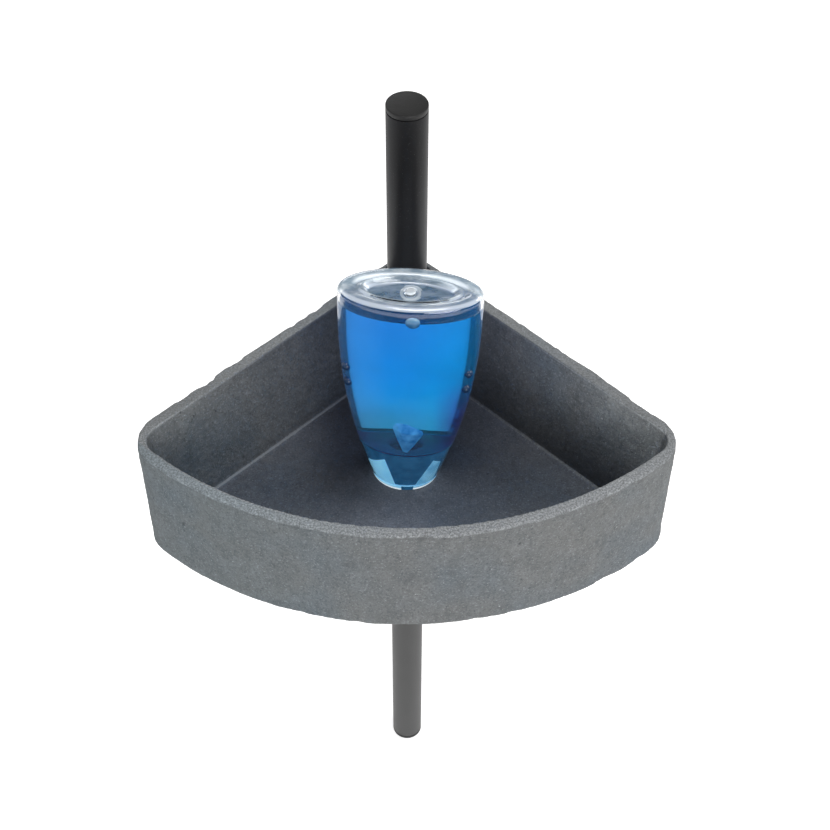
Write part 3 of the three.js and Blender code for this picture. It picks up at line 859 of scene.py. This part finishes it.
BASE_RINGS = [  # half width, half depth and depth below the top of the bottle's recessed base
    (30.8, 10.6, 0.05), (28.4, 9.9, 0.5), (27.2, 9.6, 1.1), (26.0, 9.2, 1.0), (25.0, 8.9, 0.3),
    (23.8, 8.5, 0.25), (22.6, 8.1, 1.2), (21.4, 7.7, 2.6), (19.8, 7.2, 3.1), (12.0, 6.2, 3.2),
    (6.2, 5.8, 3.25), (5.2, 5.2, 3.3), (4.6, 4.6, 3.0), (4.0, 4.0, 3.0), (3.4, 3.4, 3.5),
    (2.9, 2.9, 3.4), (2.7, 2.7, 2.2), (2.2, 2.2, 1.75), (1.2, 1.2, 1.6),
]


BASE_DEPTH = 3.8
RECESS_DEPTH = 1.3
RECESS_HALF_DEPTH = 8
NUB_ZONES = ((0, 2.6, PALE_NUB), (3.6, 5.6, FROSTED_RING))


def dress_base(shell):
    """Frosted looks for the thick recessed base, with painted shade in its recess and painted
    highlights on the nub and ring in its middle.
    """
    top = BOTTLE_Z + BOTTLE_HEIGHT
    base_low, recess_top = (top - BASE_DEPTH) * MM, (top - RECESS_DEPTH) * MM
    middle = BOTTLE_Y * MM
    more_material(shell, FROSTED, lambda face: (
        face.center.z > base_low and (face.normal.z > 0.55 or face.center.y > middle)))
    more_material(shell, RECESS, lambda face: (
        base_low < face.center.z < recess_top and face.normal.z > 0.7
        and abs(face.center.y - middle) < RECESS_HALF_DEPTH * MM))
    nub = in_bottle([(0, 0, BOTTLE_HEIGHT)])[0] * MM
    for low_radius, high_radius, material in NUB_ZONES:
        more_material(shell, material, lambda face: (
            face.center.z > base_low
            and low_radius * MM <= math.hypot(face.center.x - nub[0], face.center.y - nub[1])
            < high_radius * MM))


def make_shell():
    """Clear bottle wall: threaded neck, flat shoulder, tapering sides and a recessed base."""
    top = BOTTLE_HEIGHT
    sides = np.linspace(SHOULDER + 1, top - 3.4, 46)
    shoulder = side([SHOULDER], 0)[0]
    outer = [(9, 9, 11.0), (9, 9, 14), (9.5, 9.5, 14.5), (9.5, 9.5, 15.3), (9, 9, 15.8), (9, 9, 19),
             (9.5, 9.5, 19.5), (9.5, 9.5, 20.3), (9, 9, 20.8), (9, 9, 27), (9.2, 9.2, 28.4),
             (10, 9.8, SHOULDER)]
    outer += [(shoulder[0] - 4, shoulder[1] - 1.6, SHOULDER),
              (shoulder[0] - 1, shoulder[1] - 0.8, SHOULDER),
              (shoulder[0] - 0.1, shoulder[1] - 0.1, SHOULDER + 0.1)]
    outer += side(sides, 0)
    outer += heel(top, 3.2, 0, 1)[1:]
    outer += [(a, b, top - depth) for a, b, depth in BASE_RINGS]
    wall = BOTTLE_WALL
    inner = [(a, b, top - depth - 1.1) for a, b, depth in reversed(BASE_RINGS) if a > 2.75]
    inner += heel(top - wall, 2.4, -wall, 1)[:0:-1]
    inner += side(sides[::-1], -wall)
    inner += [(shoulder[0] - 2.2, shoulder[1] - 2, SHOULDER + wall), (8.6, 8.4, SHOULDER + wall),
              (7.6, 7.6, 28), (7.6, 7.6, 11.0)]
    rings = [ellipse(a, b, h, BOTTLE_SEGMENTS) for a, b, h in outer + inner]
    size = BOTTLE_SEGMENTS
    faces = loft_faces(len(rings), size, loop=True)
    seam = len(outer) - 1
    faces = [face for k, face in enumerate(faces) if k // size != seam]
    points = np.concatenate(rings + [np.array([[0, 0, top - 1.6], [0, 0, top - 4.4]])])
    crown, under = len(points) - 2, len(points) - 1
    for i in range(size):
        j = (i + 1) % size
        faces.append((crown, seam * size + i, seam * size + j))
        faces.append((under, (seam + 1) * size + j, (seam + 1) * size + i))
    shell = mesh_object("bottle_wall", in_bottle(points), faces, 50)
    dress(shell, "bottle", CLEAR, "clear_plastic", "bottle_shell")
    dress_base(shell)


def make_gel():
    """The gel, with a slight meniscus at its level, down through the neck to the valve."""
    offset = -0.5 * BOTTLE_WALL
    low = SHOULDER + 0.2
    rings = [(2.1, 2.1, 7.0), (2.1, 2.1, 11.2), (6.0, 6.0, 25), (6.0, 6.0, 25.3), (7.3, 7.3, 25.4),
             (7.3, 7.3, 28.6), (8.6, 8.2, low)]
    edge = side([low], offset)[0]
    rings += [(edge[0] - 1.2, edge[1] - 1.0, low)]
    rings += side(np.linspace(low + 0.8, GEL_LEVEL, 44), offset)
    top = side([GEL_LEVEL], offset)[0]
    rings += [(top[0], top[1], GEL_LEVEL + 0.5), (top[0] - 0.3, top[1] - 0.3, GEL_LEVEL + 0.5),
              (top[0] - 0.9, top[1] - 0.9, GEL_LEVEL + 0.1),
              (top[0] - 2.2, top[1] - 2, GEL_LEVEL - 0.05),
              (top[0] * 0.5, top[1] * 0.5, GEL_LEVEL - 0.1)]
    gel = bottle_piece("gel_body", rings, sharp_degrees=60)
    dress(gel, "bottle", GEL, "blue_gel", "gel")
    more_material(gel, GEL_FOOT, lambda face: face.center.z < (BOTTLE_Z + low + 0.1) * MM)


def wrapped_sheet(name, rows, offsets, facing, columns=48):
    """A sheet that follows the bottle's oval, between two offsets from it, on the side facing.

    Each row, from the lowest up, is its left end and its right end as (x, height).
    """
    points = []
    for offset in offsets:
        for row in rows:
            (x0, h0), (x1, h1) = row[::-facing]
            for s in np.linspace(0, 1, columns):
                h = h0 + (h1 - h0) * s
                a, b = along(HALF_WIDTH, h) + offset, along(HALF_DEPTH, h) + offset
                start, end = math.acos(x0 / a), math.acos(x1 / a)
                t = start + (end - start) * s
                points.append((a * math.cos(t), facing * b * math.sin(t), h))
    count = len(rows)
    sheet = columns * count
    faces = []
    for r in range(count - 1):
        for c in range(columns - 1):
            i = r * columns + c
            quad = (i, i + 1, i + columns + 1, i + columns)
            faces.append(quad)
            faces.append(tuple(sheet + k for k in reversed(quad)))
    border = [*range(columns), *range(2 * columns - 1, sheet, columns),
              *range(sheet - 2, sheet - columns - 1, -1), *range(sheet - 2 * columns, 0, -columns)]
    for k, here in enumerate(border):
        ahead = border[(k + 1) % len(border)]
        faces.append((ahead, here, sheet + here, sheet + ahead))
    return mesh_object(name, in_bottle(points), faces)


def make_label():
    """Film label wrapped on the bottle's back, with rounded corners and a real thickness.

    Low down it follows the bottle's taper, and high up it drifts a little to the left.
    """
    rows = []
    for h in np.linspace(LABEL_LOW, LABEL_HIGH, 56):
        into_corner = LABEL_CORNER - min(h - LABEL_LOW, LABEL_HIGH - h, LABEL_CORNER)
        half = LABEL_REACH - LABEL_CORNER + math.sqrt(LABEL_CORNER ** 2 - into_corner ** 2)
        half = min(half, LABEL_WIDTH_LIMIT * along(HALF_WIDTH, h))
        rise = LABEL_LEAN * half * (LABEL_HIGH - h) / (LABEL_HIGH - LABEL_LOW)
        shift = min(LABEL_SHIFT_START - h, 0) / LABEL_SHIFT_RISE
        rows.append(((-half + shift, h - rise), (half + shift, h + rise)))
    sheet = wrapped_sheet("label_sheet", rows, LABEL_OFFSETS, 1)
    dress(sheet, "bottle", LABEL, "label_white", "back_label")


def make_pip():
    """The small faceted pip moulded on the front, under the label's lower edge."""
    height = 46
    front = -along(HALF_DEPTH, height)
    ring = [(-6.2, 52.6), (-4.4, 56.4), (1.6, 55.6), (9.4, 51.2), (10.0, 49.0), (5.6, 40.0),
            (1.8, 33.6), (-0.4, 34.2), (-3.6, 43.5)]
    crown = [(-2.2, 51.2), (4.6, 49.8), (1.4, 42.0)]
    points = [(x, front - 0.1, h) for x, h in ring] + [(x, front - 2.0, h) for x, h in crown]
    points.append((1, front + 0.3, 47))
    a, b, c, back = 9, 10, 11, 12
    faces = [(a, c, b), (0, a, 1), (1, a, b), (1, b, 2), (2, b, 3), (3, b, 4), (4, b, 5), (5, b, c),
             (5, c, 6), (6, c, 7), (7, c, 8), (8, c, a), (8, a, 0)]
    for i in range(len(ring)):
        faces.append((i, (i + 1) % len(ring), back))
    pip = mesh_object("front_pip", in_bottle(points), faces, 10)
    dress(pip, "bottle", PIP_BLUE, "blue_gel")


def ball_points(radius, centre, segments=20, rows=12):
    """Points and faces of a ball."""
    rings = []
    for t in np.linspace(0, math.pi, rows + 1)[1:-1]:
        ring = ellipse(radius * math.sin(t), radius * math.sin(t), -radius * math.cos(t), segments)
        rings.append(ring + centre)
    points, faces = capped(rings)
    points[-2] = np.array(centre) - (0, 0, radius)
    points[-1] = np.array(centre) + (0, 0, radius)
    return points, faces


BEAD_RADIUS = 2.4
BEAD_HEIGHTS = (77, 88)
BEAD_ANGLE = math.radians(28)


def make_beads():
    """Four small round grip beads, two on each narrow side of the bottle, dark blue as painted
    shade.
    """
    all_points, all_faces = [], []
    for sign in (-1, 1):
        for height in BEAD_HEIGHTS:
            a, b = along(HALF_WIDTH, height), along(HALF_DEPTH, height)
            centre = (sign * a * math.cos(BEAD_ANGLE), -b * math.sin(BEAD_ANGLE), height)
            points, faces = ball_points(BEAD_RADIUS, centre)
            start = sum(len(p) for p in all_points)
            all_points.append(points)
            all_faces += [tuple(start + i for i in face) for face in faces]
    beads = mesh_object("grip_beads", in_bottle(np.concatenate(all_points)), all_faces)
    # The beads' dark blue is painted shade.
    dress(beads, "bottle", BEAD_BLUE, "blue_gel")


DROP_SHAPE = (3.7, 1.5, 3.6)


def make_drop():
    """A round drop that stands proud of the front wall, across the gel's surface line."""
    height = GEL_LEVEL + 1.2
    points, faces = ball_points(1.0, (0, 0, 0), 32, 16)
    points = points * DROP_SHAPE + (2.6, -along(HALF_DEPTH, height) + 0.5, height)
    dress(mesh_object("wall_drop", in_bottle(points), faces), "bottle", DROP, "clear_plastic")


def make_cap():
    """Pale blue cap: a clear wall flush with the bottle, and a dark core with the deck's hole."""
    low, high = CAP_LOW, SHOULDER
    outer = heel(low, 0.3, 0, -1)[::-1] + side(np.linspace(low + 0.8, high - 0.4, 18), 0)
    inner = side(np.linspace(high - 0.4, low, 18), -CAP_WALL)
    dress(bottle_piece("cap_wall", outer + inner, loop=True), "bottle", CAP_BLUE, "cap_blue", "cap")
    bore, hole, deck = 9.65, 3.6, low + CAP_DECK
    offset = -CAP_WALL - 0.35
    core = side([low + 0.05], offset - 0.4) + side(np.linspace(low + 0.5, high - 0.5, 18), offset)
    core += side([high - 0.35, high - 0.02], -0.08)
    core += [(r, r, h) for r, h in (
        (bore + 0.4, high), (bore, high - 0.4), (bore, deck + 0.3), (bore - 0.3, deck),
        (hole + 0.3, deck), (hole, deck - 0.3), (hole, low + 0.35), (hole + 0.3, low + 0.05))]
    dress(bottle_piece("cap_core", core, loop=True), "bottle", CORE_BLUE, "cap_blue")


CAP_WINDOWS = {  # lower left, lower right, upper right and upper left corner as (x, height)
    "left": ((-16.4, 4.2), (-4.3, 4.2), (-10.2, 24.0), (-19.6, 15.6)),
    "right": ((6.4, 4.2), (15.6, 4.2), (19.2, 18.9), (15.5, 23.1)),
}


def make_cap_windows():
    """Pale four-sided fields of painted light in the cap's core, beside the dark funnel."""
    for name, (low_left, low_right, high_right, high_left) in CAP_WINDOWS.items():
        for facing, place in ((-1, "front"), (1, "back")):
            rows = []
            for t in np.linspace(0, 1, 20):
                left = np.array(low_left) * (1 - t) + np.array(high_left) * t
                right = np.array(low_right) * (1 - t) + np.array(high_right) * t
                rows.append((tuple(left), tuple(right)))
            offsets = (-CAP_WALL - 0.3, -CAP_WALL - 0.06)
            window = wrapped_sheet("cap_window_" + place + "_" + name, rows, offsets, facing, 20)
            dress(window, "bottle", WINDOW, "cap_blue")


def round_ring(name, profile, material, slot, node, edge=0.2):
    """A round ring on the bottle's own axis in place of a CAD node."""
    rings = [(r, r, h) for r, h in rounded(profile, edge, loop=True)]
    piece = bottle_piece(name, rings, loop=True, segments=72)
    return dress(piece, "bottle", material, slot, node)


def make_nozzle():
    """Seal ring, funnel and slit valve between the bottle's neck and the cap's deck."""
    round_ring("neck_seal_fine", [(7.6, 9.9), (9, 9.9), (9, 10.7), (7.6, 10.7)], SILICONE,
               "seal_silicone", "neck_seal")
    round_ring("nozzle_funnel_fine", [
        (2.4, 6.7), (3.2, 6.7), (3.2, 8.6), (9, 8.6), (9, 9.6), (3.2, 9.6), (3.2, 11),
        (7.1, 25), (6.3, 25), (2.4, 11),
    ], SILICONE, "seal_silicone", "nozzle_funnel")
    rings = [(4.9, 4.9, 5.7), (5.0, 5.0, 5.8), (5.0, 5.0, 6.3), (4.9, 4.9, 6.4), (2.2, 2.2, 6.4),
             (1.6, 1.6, 6.1), (0.6, 0.25, 6.1)]
    valve = bottle_piece("nozzle_valve_fine", rings, segments=48)
    dress(valve, "bottle", SILICONE, "seal_silicone", "nozzle_valve")


LID_EDGE_HEIGHT = 2.1
LID_CORE_HALF_WIDTH = 3.6


def make_lid():
    """Flip lid that the bottle stands on, with its spigot; a painted highlight runs along its lower
    edge.
    """
    rings = heel(0, 1.4, 0, -1)[::-1] + side([LID_EDGE_HEIGHT, 3.4], 0) + side([3.6], -0.2)
    rings += [(2.8, 2.8, 3.6), (2.4, 2.4, 3.9), (2.4, 2.4, 5.2), (2.0, 2.0, 5.6)]
    lid = bottle_piece("flip_lid_fine", rings)
    # Painted light: the lid glows like the cap's windows, and a white band of painted highlight
    # runs along its lower edge.
    dress(lid, "flip_lid", WINDOW, "cap_blue", "flip_lid")
    edge_top = (BOTTLE_Z + LID_EDGE_HEIGHT) * MM
    more_material(lid, LID_HIGHLIGHT, lambda face: face.center.z < edge_top)
    more_material(lid, CORE_BLUE, lambda face: (
        abs(face.center.x) < LID_CORE_HALF_WIDTH * MM and abs(face.normal.z) < 0.7))


def make_bottle():
    make_shell()
    make_gel()
    make_label()
    make_pip()
    make_beads()
    make_drop()
    make_cap()
    make_cap_windows()
    make_nozzle()
    make_lid()


# ---------------------------------------------------------------- stage

# The camera was fitted to the photo: its place in millimetres, then how far it looks down, to the
# right and how far it is rolled. The focus is the focal length over the picture's width.
CAMERA_PLACE = (0.0, -621.04, RIM_Z + 568.05)
CAMERA_PITCH = math.radians(47.67)
CAMERA_YAW = math.radians(0.45)
CAMERA_ROLL = math.radians(0.33)
CAMERA_FOCUS = 1499 / 830
SENSOR = 36
LIGHT_TARGET = (0, -0.08, 0.45)
LIGHTS = {  # place in metres, size in metres and power in watts
    "front": ((0.6, -1.9, 1.0), 1.2, 16),
    "front_left": ((-1.3, -1.3, 1.1), 1.0, 2),
    "right": ((1.3, 0.2, 1.5), 0.8, 11.5),
    "left": ((-1.4, 0.1, 1.4), 0.8, 4.5),
    "top": ((0, -0.5, 2.2), 0.8, 10.5),
    "rear": ((-0.3, 1.6, 1.2), 0.8, 4),
}
FLOOR_HALF = 4000
FLOOR_ROWS = 24
FLOOR_DROP = 0.2


def make_camera():
    """The camera that was fitted to the photo."""
    camera = linked("camera", bpy.data.cameras.new("camera"))
    camera.data.sensor_width = SENSOR
    camera.data.lens = SENSOR * CAMERA_FOCUS
    camera.data.clip_start = 0.01
    camera.location = np.array(CAMERA_PLACE) * MM
    aim = Euler((math.pi / 2 - CAMERA_PITCH, 0, -CAMERA_YAW)).to_quaternion()
    camera.rotation_mode = "QUATERNION"
    camera.rotation_quaternion = aim @ Quaternion((0, 0, 1), CAMERA_ROLL)
    bpy.context.scene.camera = camera


def area_light(name, place, size, power):
    """A round soft light that looks at the object."""
    data = bpy.data.lights.new(name, "AREA")
    data.shape = "DISK"
    data.size = size
    data.energy = power
    light = linked(name, data)
    light.location = place
    away = np.array(place) - np.array(LIGHT_TARGET)
    light.rotation_mode = "QUATERNION"
    light.rotation_quaternion = Vector(away).to_track_quat("Z", "Y")


def make_floor():
    """A plain pale floor that the pole's lower end stands just above."""
    rows = FLOOR_ROWS
    grid = np.linspace(-FLOOR_HALF, FLOOR_HALF, rows)
    points = [(x, y, -FLOOR_DROP) for y in grid for x in grid]
    faces = [
        (r * rows + c, r * rows + c + 1, (r + 1) * rows + c + 1, (r + 1) * rows + c)
        for r in range(rows - 1) for c in range(rows - 1)
    ]
    floor = mesh_object("floor", points, faces)
    n = Nodes("floor_pale")
    tone = n.noise(3, 3, 0.5)
    colour = n.mix(n.span(tone, 0.3, 0.7), grey(0.93), grey(0.95))
    shader = n.add("BsdfPrincipled", Base_Color=colour, Roughness=0.9, Emission_Color=(1, 1, 1, 1),
                   Emission_Strength=0.7)
    floor.data.materials.append(n.finish(shader.outputs[0]))


def make_light():
    world = bpy.data.worlds.new("studio")
    world.use_nodes = True
    background = world.node_tree.nodes["Background"]
    background.inputs["Color"].default_value = (1, 1, 1, 1)
    background.inputs["Strength"].default_value = 0.1
    bpy.context.scene.world = world
    for name, (place, size, power) in LIGHTS.items():
        area_light(name, place, size, power)
    bpy.context.scene.view_settings.view_transform = "Standard"


make_pole()
make_carrier()
make_tray()
make_bottle()
make_camera()
make_floor()
make_light()
